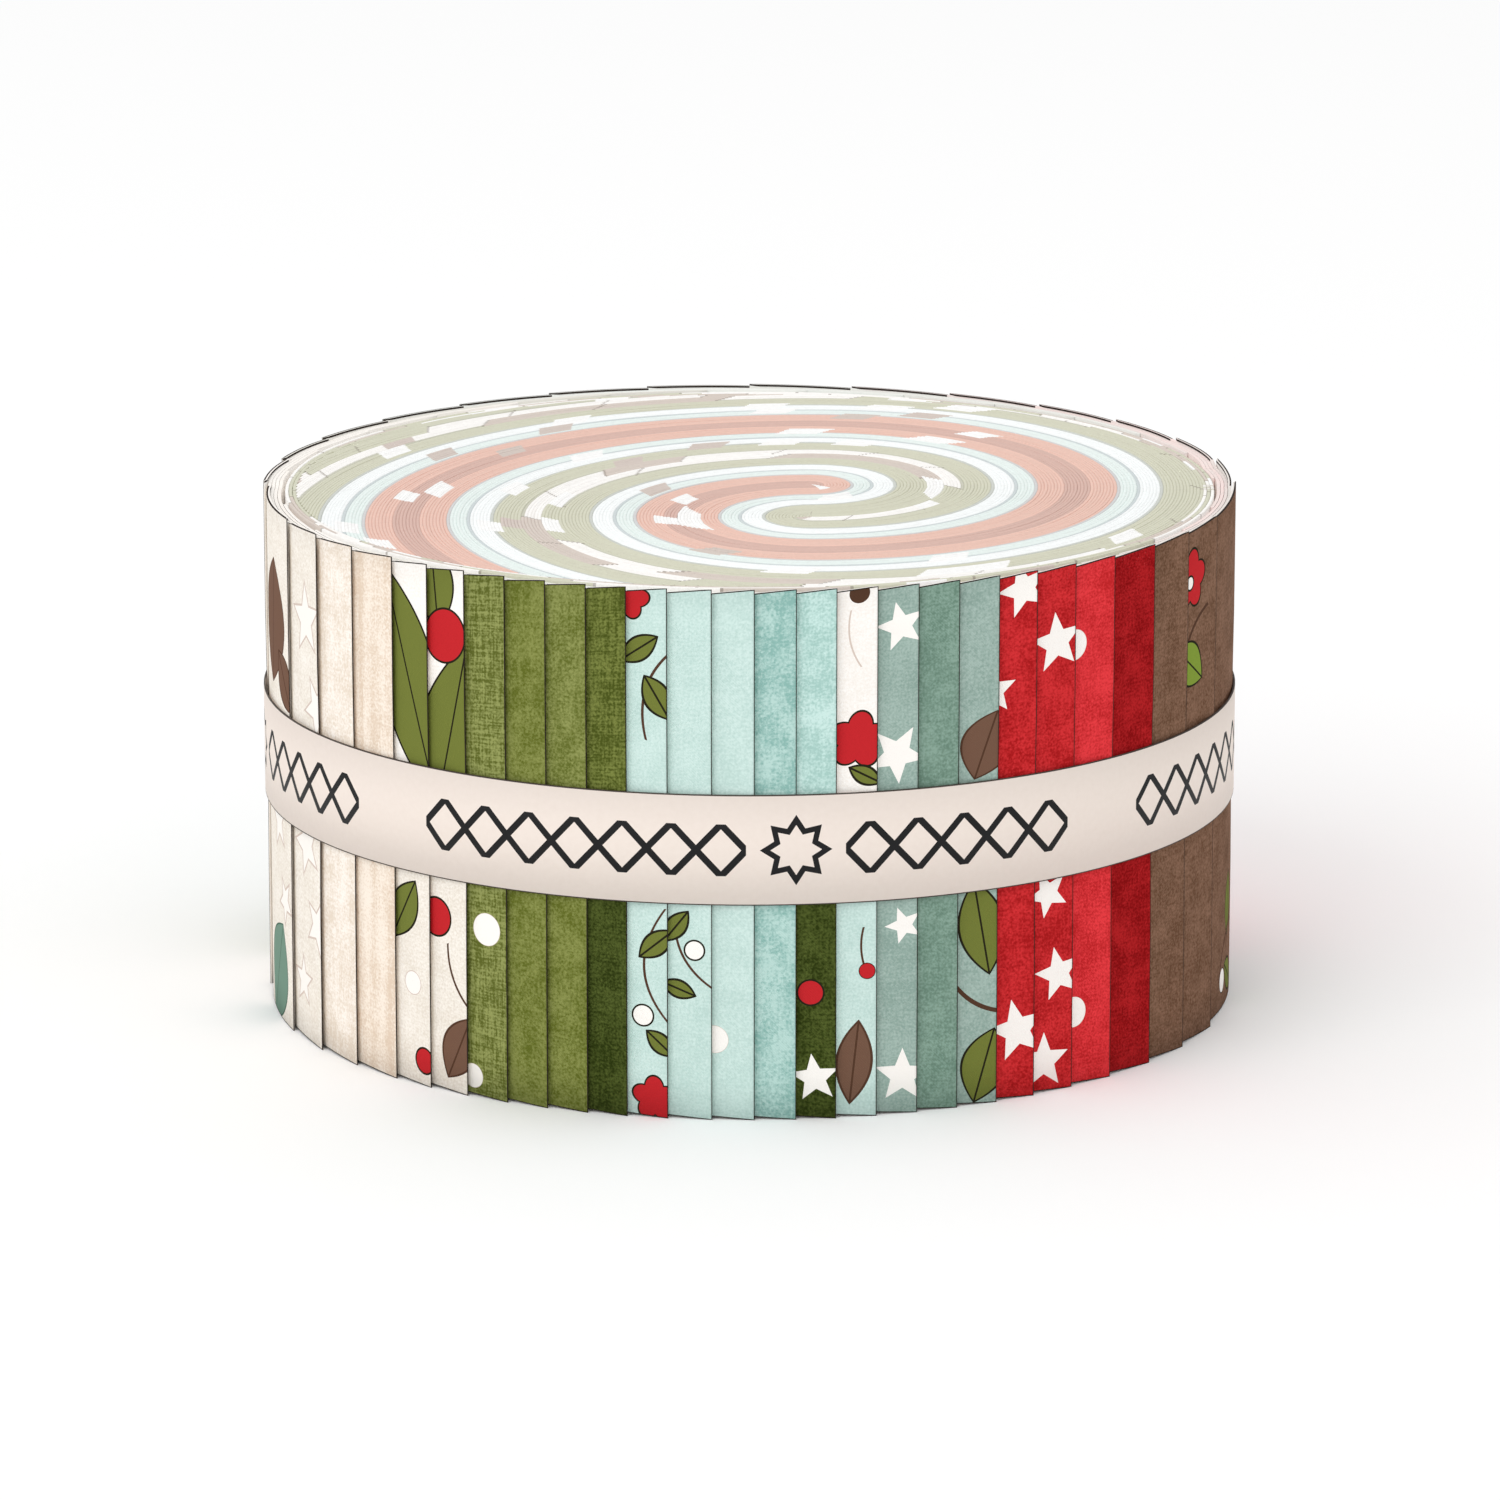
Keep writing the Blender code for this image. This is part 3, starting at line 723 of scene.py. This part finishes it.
# Each strip: ground above the band, ground below it, and its motifs.
# A motif: kind, mm along from the strip's left side, mm up, size, width, turn in degrees, fill, outline
STRIPS = {
    1: ("cream", "cream", [
        ("leaf", 13.5, 49.5, 16.0, 13.0, 84, BARK, WOOD),
        ("leaf", 19.5, 43.0, 9.0, 5.6, 130, BARK, WOOD),
        ("star", 15.5, 25.0, 4.4, 0.3, 10, CREAM_STAR, PALE_LINE),
        ("star", 18.6, 15.5, 3.6, 0.3, 33, CREAM_STAR, PALE_LINE),
        ("leaf", 14.0, 5.5, 15.0, 11.0, 64, SAGE_LEAF, ink(78, 108, 92)),
    ]),
    2: ("cream", "cream", [
        ("star", 5.4, 52.5, 5.0, 0.26, 4, CREAM_STAR, PALE_LINE),
        ("star", 8.6, 42.0, 4.4, 0.26, 30, CREAM_STAR, PALE_LINE),
        ("star", 4.6, 24.5, 4.6, 0.26, 20, CREAM_STAR, PALE_LINE),
        ("star", 8.2, 15.0, 4.2, 0.26, 50, CREAM_STAR, PALE_LINE),
        ("star", 3.0, 7.0, 3.6, 0.26, 0, CREAM_STAR, PALE_LINE),
    ]),
    3: ("warm cream", "warm cream", []),
    4: ("tan cream", "tan cream", []),
    5: ("white", "cream", [
        ("leaf", 2.5, 49.0, 30.0, 10.5, 108, LEAF_GREEN, OUTLINE),
        ("leaf", 1.0, 21.0, 9.0, 5.0, 60, LEAF_GREEN, OUTLINE),
        ("dot", 2.6, 12.2, 1.5, 0.12, 0, WARM_WHITE, PALE_LINE),
        ("dot", 4.6, 3.0, 1.7, 0.24, 0, BERRY_RED, OUTLINE),
    ]),
    6: ("white", "cream", [
        ("leaf", 2.8, 42.0, 27.0, 11.0, 76, LEAF_GREEN, OUTLINE),
        ("leaf", 0.8, 61.5, 11.0, 6.4, 96, LEAF_GREEN, OUTLINE),
        ("dot", 2.4, 55.5, 3.4, 0.26, 0, BERRY_RED, OUTLINE),
        ("dot", 0.6, 21.0, 2.5, 0.26, 0, BERRY_RED, OUTLINE),
        ("leaf", 4.2, 5.5, 9.0, 5.4, 65, BARK, WOOD),
        ("twig", 3.5, 13.5, 9.0, 0.32, 118, WOOD, WOOD),
    ]),
    7: ("woven olive", "woven olive", [
        ("dot", 2.6, 20.6, 2.0, 0.05, 0, WARM_WHITE, PALE_LINE),
        ("dot", 0.4, 2.2, 1.5, 0.05, 0, WARM_WHITE, PALE_LINE),
    ]),
    8: ("soft olive", "soft olive", []),
    9: ("olive", "soft olive", []),
    10: ("deep olive", "forest", []),
    11: ("pale aqua", "pale aqua", [
        ("twig", 2.6, 52.5, 13.0, 0.36, 66, WOOD, WOOD),
        ("leaf", 1.4, 56.5, 5.6, 3.2, 30, LEAF_GREEN, OUTLINE),
        ("leaf", 3.6, 50.6, 6.4, 3.4, 120, LEAF_GREEN, OUTLINE),
        ("blossom", 0.3, 62.5, 2.6, 0.24, 0, BERRY_RED, OUTLINE),
        ("twig", 2.0, 17.5, 15.0, 0.32, 96, WOOD, WOOD),
        ("leaf", 3.4, 21.0, 5.6, 3.0, 40, LEAF_GREEN, OUTLINE),
        ("dot", 1.8, 12.2, 1.4, 0.22, 0, WARM_WHITE, OUTLINE),
        ("leaf", 3.9, 9.0, 4.6, 2.6, -40, LEAF_GREEN, OUTLINE),
        ("blossom", 3.2, 2.2, 2.9, 0.24, 20, BERRY_RED, OUTLINE),
    ]),
    12: ("pale aqua", "pale aqua", [
        ("twig", 1.8, 19.5, 9.5, 0.30, 118, WOOD, WOOD),
        ("leaf", 0.9, 23.2, 5.0, 2.7, 52, LEAF_GREEN, OUTLINE),
        ("dot", 3.1, 20.4, 1.3, 0.22, 0, WARM_WHITE, OUTLINE),
        ("leaf", 1.2, 15.6, 4.6, 2.4, 160, LEAF_GREEN, OUTLINE),
    ]),
    13: ("pale aqua", "pale aqua", [
        ("dot", 0.2, 9.5, 1.7, 0.05, 0, WARM_WHITE, PALE_LINE),
    ]),
    14: ("aqua", "aqua", []),
    15: ("clear aqua", "forest", [
        ("dot", 1.7, 15.2, 1.65, 0.22, 0, BERRY_RED, OUTLINE),
        ("star", 2.2, 4.8, 3.0, 0.04, 8, WARM_WHITE, WARM_WHITE),
    ]),
    16: ("white", "pale aqua", [
        ("dot", 2.7, 63.0, 1.2, 0.10, 0, WOOD, WOOD),
        ("twig", 1.6, 57.5, 7.0, 0.20, 100, PALE_LINE, PALE_LINE),
        ("blossom", 2.6, 45.5, 3.6, 0.26, 10, BERRY_RED, OUTLINE),
        ("leaf", 3.4, 41.2, 4.6, 2.4, 150, LEAF_GREEN, OUTLINE),
        ("twig", 3.0, 20.4, 5.0, 0.26, 92, WOOD, WOOD),
        ("dot", 3.7, 17.6, 1.0, 0.10, 0, BERRY_RED, OUTLINE),
        ("leaf", 2.2, 6.5, 10.5, 4.4, 84, BARK, WOOD),
    ]),
    17: ("sage", "sage", [
        ("star", 2.8, 58.8, 3.0, 0.04, 12, WARM_WHITE, WARM_WHITE),
        ("star", 2.4, 43.5, 3.6, 0.04, 40, WARM_WHITE, WARM_WHITE),
        ("star", 3.3, 22.8, 2.3, 0.04, 20, WARM_WHITE, WARM_WHITE),
        ("star", 3.2, 4.5, 3.4, 0.04, 0, WARM_WHITE, WARM_WHITE),
    ]),
    18: ("deep sage", "deep sage", []),
    19: ("sage", "sage", [
        ("leaf", 3.6, 43.5, 8.5, 6.6, 70, BARK, WOOD),
        ("leaf", 3.2, 21.5, 12.0, 6.0, 100, LEAF_GREEN, OUTLINE),
        ("twig", 2.6, 12.2, 9.0, 0.55, 150, WOOD, WOOD),
        ("leaf", 3.6, 4.6, 9.5, 6.0, 74, LEAF_GREEN, OUTLINE),
    ]),
    20: ("red", "red", [
        ("star", 3.4, 61.6, 3.4, 0.04, 15, WARM_WHITE, WARM_WHITE),
        ("star", -0.4, 50.0, 3.0, 0.04, 0, WARM_WHITE, WARM_WHITE),
        ("star", 3.0, 8.2, 3.9, 0.04, 12, WARM_WHITE, WARM_WHITE),
    ]),
    21: ("red", "red", [
        ("star", 3.2, 54.6, 3.7, 0.04, 5, WARM_WHITE, WARM_WHITE),
        ("star", 2.2, 24.2, 3.0, 0.04, 25, WARM_WHITE, WARM_WHITE),
        ("star", 3.8, 14.2, 3.4, 0.04, 12, WARM_WHITE, WARM_WHITE),
        ("star", 1.8, 3.6, 3.6, 0.04, 0, WARM_WHITE, WARM_WHITE),
    ]),
    22: ("bright red", "bright red", [
        ("dot", 0.2, 54.0, 1.9, 0.05, 0, WARM_WHITE, PALE_LINE),
        ("dot", 0.6, 8.8, 1.9, 0.05, 0, WARM_WHITE, PALE_LINE),
    ]),
    23: ("deep red", "deep red", []),
    24: ("brown", "brown", []),
    25: ("brown", "brown", [
        ("twig", 2.6, 51.5, 9.0, 0.5, 40, WOOD, WOOD),
        ("blossom", 2.0, 57.6, 3.9, 0.3, 10, BERRY_RED, OUTLINE),
        ("dot", 1.6, 57.2, 1.0, 0.26, 0, WARM_WHITE, OUTLINE),
        ("leaf", 1.8, 47.2, 8.6, 5.6, -36, ink(128, 152, 58), OUTLINE),
    ]),
    26: ("brown", "brown", [
        ("leaf", 12.0, 12.5, 8.5, 4.6, 80, LEAF_GREEN, OUTLINE),
        ("twig", 10.0, 8.5, 12.0, 0.5, 30, WOOD, WOOD),
        ("dot", 8.0, 3.5, 1.6, 0.12, 0, WARM_WHITE, OUTLINE),
        ("leaf", 13.0, 3.2, 8.0, 4.2, 150, LEAF_GREEN, OUTLINE),
    ]),
    27: ("brown", "brown", []),
    28: ("deep red", "deep red", []),
    29: ("bright red", "bright red", [
        ("dot", 4.0, 52.0, 1.9, 0.05, 0, WARM_WHITE, PALE_LINE),
        ("dot", 9.5, 44.5, 1.9, 0.05, 0, WARM_WHITE, PALE_LINE),
        ("dot", 5.0, 18.0, 1.9, 0.05, 0, WARM_WHITE, PALE_LINE),
        ("dot", 10.5, 8.0, 1.9, 0.05, 0, WARM_WHITE, PALE_LINE),
    ]),
    30: ("red", "red", [
        ("star", 4.4, 56.0, 2.9, 0.04, 15, WARM_WHITE, WARM_WHITE),
        ("star", 9.6, 47.5, 2.6, 0.04, 44, WARM_WHITE, WARM_WHITE),
        ("star", 8.4, 20.0, 3.0, 0.04, 28, WARM_WHITE, WARM_WHITE),
        ("star", 3.2, 9.5, 2.7, 0.04, 3, WARM_WHITE, WARM_WHITE),
    ]),
    31: ("bright red", "bright red", []),
    32: ("deep red", "deep red", []),
    33: ("sage", "sage", [
        ("star", 4.8, 52.0, 2.8, 0.04, 20, WARM_WHITE, WARM_WHITE),
        ("star", 9.4, 43.0, 2.5, 0.04, 50, WARM_WHITE, WARM_WHITE),
        ("star", 5.4, 17.0, 2.9, 0.04, 35, WARM_WHITE, WARM_WHITE),
        ("star", 10.4, 6.5, 2.5, 0.04, 8, WARM_WHITE, WARM_WHITE),
    ]),
    34: ("deep sage", "deep sage", []),
    35: ("sage", "sage", []),
    36: ("aqua", "aqua", []),
    37: ("pale aqua", "pale aqua", [
        ("twig", 6.0, 50.0, 13.0, 0.32, 84, WOOD, WOOD),
        ("leaf", 3.9, 53.0, 6.0, 3.2, 140, LEAF_GREEN, OUTLINE),
        ("leaf", 8.6, 48.5, 6.0, 3.2, 40, LEAF_GREEN, OUTLINE),
        ("twig", 6.6, 15.0, 14.0, 0.32, 98, WOOD, WOOD),
        ("leaf", 4.2, 17.0, 6.0, 3.2, 146, LEAF_GREEN, OUTLINE),
        ("dot", 8.4, 11.4, 1.4, 0.22, 0, WARM_WHITE, OUTLINE),
    ]),
    38: ("deep olive", "deep olive", []),
    39: ("olive", "olive", []),
    40: ("warm cream", "warm cream", []),
}


def strip_finish(number):
    """Printed cotton for one strip, with pale cut edges and painted shade: a dark line where its end lies on the
    next, along its top and foot, round the rim and, on the front strips, over the fold face at its free end.
    """
    above, below, motifs = STRIPS[number]
    width = (end_angle(number) - end_angle(number - 1)) * ROLL_RADIUS * 1000
    material = bpy.data.materials.new(f"Printed cotton {number:02d}")
    material.use_nodes = True
    tree = material.node_tree
    shader = tree.nodes["Principled BSDF"]
    shader.inputs["Roughness"].default_value = 0.9
    shader.inputs["Specular IOR Level"].default_value = 0.05

    cloth_map = tree.nodes.new("ShaderNodeUVMap")
    cloth_map.uv_map = "Cloth"
    split = tree.nodes.new("ShaderNodeSeparateXYZ")
    tree.links.new(cloth_map.outputs[0], split.inputs[0])
    along = split.outputs["X"]
    up = split.outputs["Y"]

    grounds = []
    for name in (above, below):
        light, dark, blotch, hatch, streak = GROUNDS[name]
        cotton = tree.nodes.new("ShaderNodeGroup")
        cotton.node_tree = COTTON
        cotton.inputs["Light"].default_value = light
        cotton.inputs["Dark"].default_value = dark
        cotton.inputs["Blotch"].default_value = blotch
        cotton.inputs["Hatch"].default_value = hatch
        cotton.inputs["Streak"].default_value = streak
        cotton.inputs["Seed"].default_value = number
        grounds.append(cotton.outputs[0])
    over_band = add_math(tree, "GREATER_THAN", up, 32.6)
    colour = add_mix(tree, over_band, grounds[1], grounds[0])

    for kind, x, y, size, breadth, turn, fill, outline in motifs:
        motif = tree.nodes.new("ShaderNodeGroup")
        motif.node_tree = MOTIFS[kind]
        values = (("Along", x), ("Up", y), ("Size", size), ("Width", breadth), ("Turn", turn), ("Ink", fill), ("Line", outline))
        for name, value in values:
            motif.inputs[name].default_value = value
        tree.links.new(colour, motif.inputs["Under"])
        colour = motif.outputs[0]

    # Painted shade: a thin dark line along the end, top and foot of the printed face, standing in for the shadow in
    # the gap where one strip lies on the next.
    shade_line_width = 0.10
    near_end = add_math(tree, "GREATER_THAN", along, width - shade_line_width)
    near_top = add_math(tree, "GREATER_THAN", up, STRIP_WIDTH * 1000 - shade_line_width)
    near_foot = add_math(tree, "LESS_THAN", up, shade_line_width)
    painted_shade_line = add_math(tree, "MAXIMUM", near_end, add_math(tree, "MAXIMUM", near_top, near_foot))

    cut = tree.nodes.new("ShaderNodeAttribute")
    cut.attribute_name = "cut_edge"
    on_pale = add_math(tree, "GREATER_THAN", cut.outputs["Fac"], 0.25)
    on_cut = add_math(tree, "GREATER_THAN", cut.outputs["Fac"], 0.75)
    on_fold = add_math(tree, "GREATER_THAN", cut.outputs["Fac"], 1.5)
    pale = add_mix(tree, 0.8, grounds[0], WARM_WHITE)
    colour = add_mix(tree, on_pale, colour, pale)
    painted_shade_line = add_math(tree, "MULTIPLY", painted_shade_line, add_math(tree, "SUBTRACT", 1.0, on_pale))
    shown = add_math(tree, "GREATER_THAN", along, 0.0)
    # Painted shade round the rim: the inner faces near the top and the outer half of the cut edges are darkened, as
    # if they lay in shadow.
    near_rim = add_math(tree, "GREATER_THAN", up, STRIP_WIDTH * 1000 - 2.5 * shade_line_width)
    inner_rim_painted_shade = add_math(tree, "MULTIPLY", near_rim, add_math(tree, "SUBTRACT", on_pale, on_cut))
    into = tree.nodes.new("ShaderNodeAttribute")
    into.attribute_name = "depth"
    outer_half = add_math(tree, "LESS_THAN", into.outputs["Fac"], 0.5)
    rim_painted_shade = add_math(tree, "MAXIMUM", inner_rim_painted_shade, add_math(tree, "MULTIPLY", outer_half, on_cut))
    rim_painted_shade = add_math(tree, "MULTIPLY", rim_painted_shade, shown)
    painted_shade_line = add_math(tree, "MAXIMUM", painted_shade_line, rim_painted_shade)
    # Painted shade: on the front strips the fold face at the free end is darkened, as if it lay in shadow.
    if number <= len(FRONT_WIDTHS):
        painted_shade_line = add_math(tree, "MAXIMUM", painted_shade_line, on_fold)
    # The dark colour of all the painted shade lines.
    colour = add_mix(tree, painted_shade_line, colour, ink(52, 44, 40))
    tree.links.new(colour, shader.inputs["Base Color"])

    thread = 2 * math.pi / 0.32
    warp = add_math(tree, "SINE", add_math(tree, "MULTIPLY", along, thread))
    weft = add_math(tree, "SINE", add_math(tree, "MULTIPLY", up, thread))
    weave = add_math(tree, "MULTIPLY", warp, weft)
    bump = tree.nodes.new("ShaderNodeBump")
    bump.inputs["Strength"].default_value = 0.25
    bump.inputs["Distance"].default_value = 0.00003
    tree.links.new(weave, bump.inputs["Height"])
    tree.links.new(bump.outputs[0], shader.inputs["Normal"])
    return material


NODE_OF_STRIP = {int(name.split("_")[1]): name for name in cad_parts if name.startswith("strip_")}

for number in range(1, STRIP_COUNT + 1):
    node = NODE_OF_STRIP[number]
    strip = bpy.data.objects.new(f"strip_end_{number:02d}", strip_mesh(number))
    bpy.context.scene.collection.objects.link(strip)
    strip.data.materials.append(strip_finish(number))
    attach(strip, "root")
    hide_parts(node)

# The belly band: a strip of smooth cream paper round the middle of the roll, glued to itself in a short lap
# at the back. It is printed in black with a chain of quilt diamonds round an eight-pointed star.

BAND_LOW = 0.0260
BAND_HIGH = 0.0392
BAND_INNER = 0.05918
PAPER_THICKNESS = 0.0002
LAP = 0.010
BAND_STEP = math.radians(2)
ORNAMENTS_ROUND = 4


def band_mesh():
    """A closed sheet that starts and ends at the back, its last stretch lying on its first."""
    mesh = bpy.data.meshes.new("belly_band_paper")
    bm = bmesh.new()
    paper_map = bm.loops.layers.uv.new("Paper")
    whole_turn = 2 * math.pi
    sweep = whole_turn + LAP / BAND_INNER
    steps = math.ceil(sweep / BAND_STEP)
    columns = []
    for step in range(steps + 1):
        turned = sweep * step / steps
        angle = turned - math.pi
        rise = min(max((turned - whole_turn + 0.10) / 0.10, 0.0), 1.0)
        inner = BAND_INNER + (PAPER_THICKNESS + 0.00005) * rise * rise * (3 - 2 * rise)
        column = []
        for radius in (inner + PAPER_THICKNESS, inner):
            for height in (BAND_LOW, BAND_HIGH):
                column.append(bm.verts.new((radius * math.sin(angle), -radius * math.cos(angle), height)))
        columns.append((angle, column))

    def add_face(corners):
        face = bm.faces.new([columns[column][1][corner] for column, corner in corners])
        for loop, (column, corner) in zip(face.loops, corners):
            height = (-0.5 if corner % 2 == 0 else 0.5) * (BAND_HIGH - BAND_LOW)
            loop[paper_map].uv = (columns[column][0] * BAND_INNER * 1000, height * 1000)
        return face

    for column in range(steps):
        after = column + 1
        for outside in ([(column, 0), (after, 0), (after, 1), (column, 1)], [(column, 2), (column, 3), (after, 3), (after, 2)]):
            add_face(outside).smooth = True
        add_face([(column, 0), (column, 2), (after, 2), (after, 0)])
        add_face([(column, 1), (after, 1), (after, 3), (column, 3)])
    add_face([(0, 0), (0, 1), (0, 3), (0, 2)])
    add_face([(steps, 0), (steps, 2), (steps, 3), (steps, 1)])
    bmesh.ops.recalc_face_normals(bm, faces=bm.faces)
    bm.to_mesh(mesh)
    bm.free()
    return mesh


def paper_finish():
    material = bpy.data.materials.new("Printed cream paper")
    material.use_nodes = True
    tree = material.node_tree
    shader = tree.nodes["Principled BSDF"]
    shader.inputs["Roughness"].default_value = 0.6
    shader.inputs["Specular IOR Level"].default_value = 0.25

    paper_map = tree.nodes.new("ShaderNodeUVMap")
    paper_map.uv_map = "Paper"
    split = tree.nodes.new("ShaderNodeSeparateXYZ")
    tree.links.new(paper_map.outputs[0], split.inputs[0])
    around = split.outputs["X"]
    up = split.outputs["Y"]
    fibre = add_noise(tree, paper_map.outputs[0], 1.4, detail=4.0).outputs[0]
    colour = add_mix(tree, fibre, ink(234, 221, 211), ink(240, 228, 219))

    repeat = 2 * math.pi * BAND_INNER * 1000 / ORNAMENTS_ROUND
    shifted = add_math(tree, "ADD", around, repeat * (ORNAMENTS_ROUND + 0.5))
    x = add_math(tree, "SUBTRACT", add_math(tree, "MODULO", shifted, repeat), repeat / 2)

    diamond = 5.8
    in_first_row = add_math(tree, "MULTIPLY", add_math(tree, "GREATER_THAN", x, -41.0), add_math(tree, "LESS_THAN", x, -0.4))
    in_last_row = add_math(tree, "MULTIPLY", add_math(tree, "GREATER_THAN", x, 11.2), add_math(tree, "LESS_THAN", x, 40.2))
    in_rows = add_math(tree, "MAXIMUM", in_first_row, in_last_row)
    chain = add_math(tree, "PINGPONG", add_math(tree, "ADD", x, 41.0), diamond / 2)
    slope = add_math(tree, "DIVIDE", add_math(tree, "SUBTRACT", diamond / 2, chain), diamond / 2)
    steep = add_math(tree, "DIVIDE", add_math(tree, "ABSOLUTE", up), 3.1)
    side = add_math(tree, "ABSOLUTE", add_math(tree, "SUBTRACT", add_math(tree, "ADD", slope, steep), 1.0))
    on_side = add_math(tree, "LESS_THAN", side, 0.19)
    low_enough = add_math(tree, "LESS_THAN", add_math(tree, "ABSOLUTE", up), 3.1)
    on_diamonds = add_math(tree, "MULTIPLY", add_math(tree, "MULTIPLY", on_side, low_enough), in_rows)

    star_x = add_math(tree, "SUBTRACT", x, 5.4)
    reach = add_math(tree, "SQRT", add_math(tree, "ADD", add_math(tree, "MULTIPLY", star_x, star_x), add_math(tree, "MULTIPLY", up, up)))
    turned = add_math(tree, "ADD", add_math(tree, "ARCTAN2", up, star_x), 4 * math.pi)
    folded = add_math(tree, "PINGPONG", turned, math.pi / 8)
    depth = add_math(tree, "MULTIPLY", reach, add_math(tree, "COSINE", add_math(tree, "SUBTRACT", folded, 1.0)))
    on_star = add_math(tree, "LESS_THAN", add_math(tree, "ABSOLUTE", add_math(tree, "SUBTRACT", depth, 1.95)), 0.33)

    printed = add_math(tree, "MAXIMUM", on_diamonds, on_star)
    colour = add_mix(tree, printed, colour, ink(18, 18, 20))
    half = (BAND_HIGH - BAND_LOW) * 500
    on_edge = add_math(tree, "GREATER_THAN", add_math(tree, "ABSOLUTE", up), half - 0.13)
    colour = add_mix(tree, on_edge, colour, ink(70, 60, 54))
    tree.links.new(colour, shader.inputs["Base Color"])

    bump = tree.nodes.new("ShaderNodeBump")
    bump.inputs["Strength"].default_value = 0.08
    bump.inputs["Distance"].default_value = 0.00005
    tree.links.new(fibre, bump.inputs["Height"])
    tree.links.new(bump.outputs[0], shader.inputs["Normal"])
    return material


band = bpy.data.objects.new("belly_band_paper", band_mesh())
bpy.context.scene.collection.objects.link(band)
band.data.materials.append(paper_finish())
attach(band, "root")
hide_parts("belly_band")

# The floor, the light and the camera: a pale sheet under even studio light, and a long lens that looks
# slightly down on the front of the roll.

FLOOR_SIZE = 6.0
CAMERA_DISTANCE = 1.0152
CAMERA_RISE = math.radians(13.94)
CAMERA_LENS = 198.6
SENSOR = 36.0
AIM = Vector((0.00006, 0.0, STRIP_WIDTH / 2 - 0.00201))


def add_floor():
    mesh = bpy.data.meshes.new("floor")
    half = FLOOR_SIZE / 2
    corners = [(-half, -half, 0.0), (half, -half, 0.0), (half, half, 0.0), (-half, half, 0.0)]
    mesh.from_pydata(corners, [], [(0, 1, 2, 3)])
    floor = bpy.data.objects.new("floor", mesh)
    bpy.context.scene.collection.objects.link(floor)
    material = bpy.data.materials.new("Pale floor")
    material.use_nodes = True
    shader = material.node_tree.nodes["Principled BSDF"]
    shader.inputs["Base Color"].default_value = (0.99, 0.99, 0.99, 1.0)
    shader.inputs["Roughness"].default_value = 1.0
    shader.inputs["Specular IOR Level"].default_value = 0.0
    mesh.materials.append(material)
    return floor


def add_softbox(name, place, size, power):
    light = bpy.data.lights.new(name, "AREA")
    light.shape = "SQUARE"
    light.size = size
    light.energy = power
    lamp = bpy.data.objects.new(name, light)
    lamp.location = place
    lamp.rotation_euler = (Vector((0.0, 0.0, 0.03)) - Vector(place)).to_track_quat("-Z", "Y").to_euler()
    bpy.context.scene.collection.objects.link(lamp)
    return lamp


def add_camera():
    camera = bpy.data.cameras.new("camera")
    camera.lens = CAMERA_LENS
    camera.sensor_width = SENSOR
    viewer = bpy.data.objects.new("camera", camera)
    viewer.location = (
        0.0,
        -CAMERA_DISTANCE * math.cos(CAMERA_RISE),
        STRIP_WIDTH / 2 + CAMERA_DISTANCE * math.sin(CAMERA_RISE),
    )
    viewer.rotation_euler = (AIM - viewer.location).to_track_quat("-Z", "Y").to_euler()
    bpy.context.scene.collection.objects.link(viewer)
    return viewer


add_floor()
add_softbox("key", (-1.2, -1.6, 1.8), 1.6, 16.5)
add_softbox("overhead", (0.05, 0.1, 2.0), 1.0, 2.6)
sky = bpy.data.worlds.new("studio")
sky.use_nodes = True
sky.node_tree.nodes["Background"].inputs["Color"].default_value = (1.0, 1.0, 1.0, 1.0)
sky.node_tree.nodes["Background"].inputs["Strength"].default_value = 0.85
bpy.context.scene.world = sky
bpy.context.scene.view_settings.view_transform = "Standard"
bpy.context.scene.camera = add_camera()
